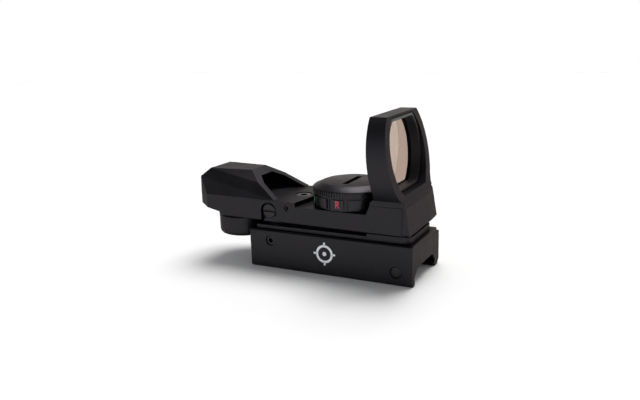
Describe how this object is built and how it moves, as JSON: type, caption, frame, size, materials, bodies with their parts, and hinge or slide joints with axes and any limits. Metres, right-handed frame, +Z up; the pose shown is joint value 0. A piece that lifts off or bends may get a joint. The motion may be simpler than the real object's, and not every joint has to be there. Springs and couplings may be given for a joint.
{
  "type": "red dot finder",
  "caption": "Open reflex red dot finder with leaning lens, turret battery dial, reticle selector, windage and elevation screws and an accessory rail clamp.",
  "frame": {"origin": "middle of the rail seat, the flat ceiling of the clamp's channel", "axes": "+X forwards along the sight line, from the emitter to the lens; +Y to the user's left, the side of the clamp jaw; +Z up"},
  "size_m": [0.083, 0.0384, 0.0544],
  "materials": {
    "anodised": "satin black anodised",
    "moulded": "matt black moulded plastic",
    "black_steel": "blackened",
    "bright_steel": "turned and polished",
    "spring_steel": "drawn wire",
    "brass": "stamped strip",
    "lens_glass": "red-reflecting coating",
    "rubber": "matt",
    "board": "green solder mask",
    "led_clear": "clear moulded",
    "ribbon": "amber film"
  },
  "bodies": {
    "base": {"rail_base": "anodised", "adjusting_post": "bright_steel", "yaw_pivot_screw": "bright_steel"},
    "set_screw": {"base_set_screw": "black_steel"},
    "jaw": {"clamp_jaw": "anodised"},
    "front_bolt": {"clamp_bolt_front": "black_steel"},
    "rear_bolt": {"clamp_bolt_rear": "black_steel"},
    "plate": {"pivot_plate": "anodised", "lift_spring_right": "spring_steel", "lift_spring_left": "spring_steel"},
    "upper": {"body_shell": "anodised", "pitch_pin": "bright_steel", "windage_spring": "spring_steel", "emitter_housing": "anodised", "emitter_baffle": "moulded", "housing_screw_right": "black_steel", "housing_screw_left": "black_steel", "led_board": "board", "led_holder": "moulded", "led": "led_clear", "led_ribbon": "ribbon", "selector_detent_spring": "spring_steel", "dial_detent_spring": "spring_steel", "switch_board": "board", "board_cover": "moulded", "battery_contact": "spring_steel", "lens_hood": "anodised", "hood_screw_right": "black_steel", "hood_screw_left": "black_steel", "lens": "lens_glass", "lens_ring": "moulded"},
    "windage": {"windage_screw": "black_steel"},
    "elevation": {"elevation_screw": "black_steel"},
    "lock": {"elevation_lock_screw": "black_steel"},
    "selector": {"selector_knob": "anodised", "selector_screw": "black_steel", "reticle_drum": "moulded"},
    "selector_ball": {"selector_detent_ball": "bright_steel"},
    "dial": {"brightness_dial": "anodised", "dial_clip": "spring_steel", "dial_wiper": "brass", "insulating_washer": "moulded", "coin_cell": "bright_steel"},
    "dial_ball": {"dial_detent_ball": "bright_steel"},
    "seal": {"cap_seal": "rubber"},
    "cap": {"battery_cap": "anodised"}
  },
  "joints": [
    {"name": "set_screw_turn", "type": "hinge", "parent": "base", "child": "set_screw", "pos_m": [-0.0221, 0, 0.0046], "axis": [0, 1, 0], "range_deg": [-720, 0]},
    {"name": "jaw_slide", "type": "slide", "parent": "base", "child": "jaw", "axis": [0, 1, 0], "range_m": [0, 0.0025]},
    {"name": "front_bolt_turn", "type": "hinge", "parent": "jaw", "child": "front_bolt", "pos_m": [0.0245, 0, -0.0009], "axis": [0, 1, 0], "range_deg": [0, 1300]},
    {"name": "rear_bolt_turn", "type": "hinge", "parent": "jaw", "child": "rear_bolt", "pos_m": [-0.0245, 0, -0.0009], "axis": [0, 1, 0], "range_deg": [0, 1300]},
    {"name": "yaw", "type": "hinge", "parent": "base", "child": "plate", "pos_m": [0.0198, 0, 0.0097], "axis": [0, 0, 1], "range_deg": [-1, 1]},
    {"name": "pitch", "type": "hinge", "parent": "plate", "child": "upper", "pos_m": [0.0198, 0, 0.0139], "axis": [0, 1, 0], "range_deg": [-1, 1]},
    {"name": "windage_turn", "type": "hinge", "parent": "upper", "child": "windage", "pos_m": [-0.0221, 0, 0.0153], "axis": [0, 1, 0], "range_deg": [-530, 530]},
    {"name": "elevation_turn", "type": "hinge", "parent": "upper", "child": "elevation", "pos_m": [-0.0147, 0, 0.0147], "axis": [0, 0, 1], "range_deg": [-440, 440]},
    {"name": "lock_screw_turn", "type": "hinge", "parent": "upper", "child": "lock", "pos_m": [-0.0147, 0, 0.017], "axis": [0, 1, 0], "range_deg": [-720, 0]},
    {"name": "selector_turn", "type": "hinge", "parent": "upper", "child": "selector", "pos_m": [-0.0401, 0, 0.0097], "axis": [0, 0, 1], "range_deg": [0, 90]},
    {"name": "selector_ball_slide", "type": "slide", "parent": "upper", "child": "selector_ball", "axis": [0, 0, 1], "range_m": [0, 0.0004], "stiffness_N_per_m": 200, "springref_m": -0.001, "deforming": ["selector_detent_spring"]},
    {"name": "dial_turn", "type": "hinge", "parent": "upper", "child": "dial", "pos_m": [0.0043, 0, 0.0197], "axis": [0, 0, 1], "range_deg": [0, 334.28]},
    {"name": "dial_ball_slide", "type": "slide", "parent": "upper", "child": "dial_ball", "axis": [0, 0, -1], "range_m": [0, 0.0004], "stiffness_N_per_m": 200, "springref_m": -0.001, "deforming": ["dial_detent_spring"]},
    {"name": "seal_lift", "type": "slide", "parent": "dial", "child": "seal", "axis": [0, 0, 1], "range_m": [0, 0.00225]},
    {"name": "cap_turn", "type": "hinge", "parent": "seal", "child": "cap", "pos_m": [0.0043, 0, 0.0237], "axis": [0, 0, 1], "range_deg": [0, 1085]}
  ],
  "couplings": [
    {"joint": "front_bolt_turn", "follows": "jaw_slide", "rad_per_m": 8976},
    {"joint": "rear_bolt_turn", "follows": "jaw_slide", "rad_per_m": 8976},
    {"joint": "windage_turn", "follows": "yaw", "ratio": 526.5},
    {"joint": "elevation_turn", "follows": "pitch", "ratio": -433.5},
    {"joint": "cap_turn", "follows": "seal_lift", "rad_per_m": 8377.6}
  ]
}
